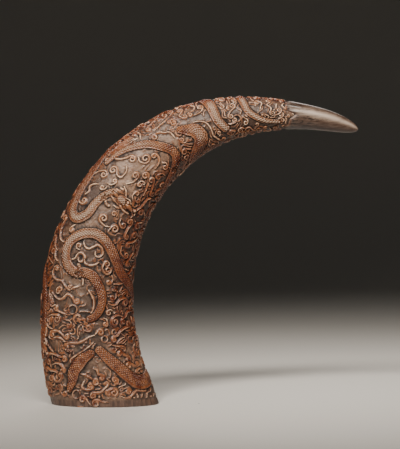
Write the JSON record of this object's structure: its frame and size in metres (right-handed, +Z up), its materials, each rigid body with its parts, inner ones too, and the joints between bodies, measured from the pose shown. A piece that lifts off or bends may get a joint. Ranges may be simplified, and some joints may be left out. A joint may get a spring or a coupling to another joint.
{
  "type": "carved buffalo horn",
  "caption": "Curved hollow buffalo horn standing on its flat cut mouth, carved all round with dragons among clouds, with a plain foot band and a plain polished tip.",
  "frame": {"origin": "on the ground under the horn, at the middle of its footprint seen from above", "axes": "+Z up, +X towards the tip, and the horn bends in the XZ plane; +Y is the side away from the viewer in the picture"},
  "size_m": [0.3264, 0.0746, 0.3169],
  "materials": {
    "horn": "satin"
  },
  "bodies": {
    "root": {"horn": "horn"}
  },
  "joints": []
}
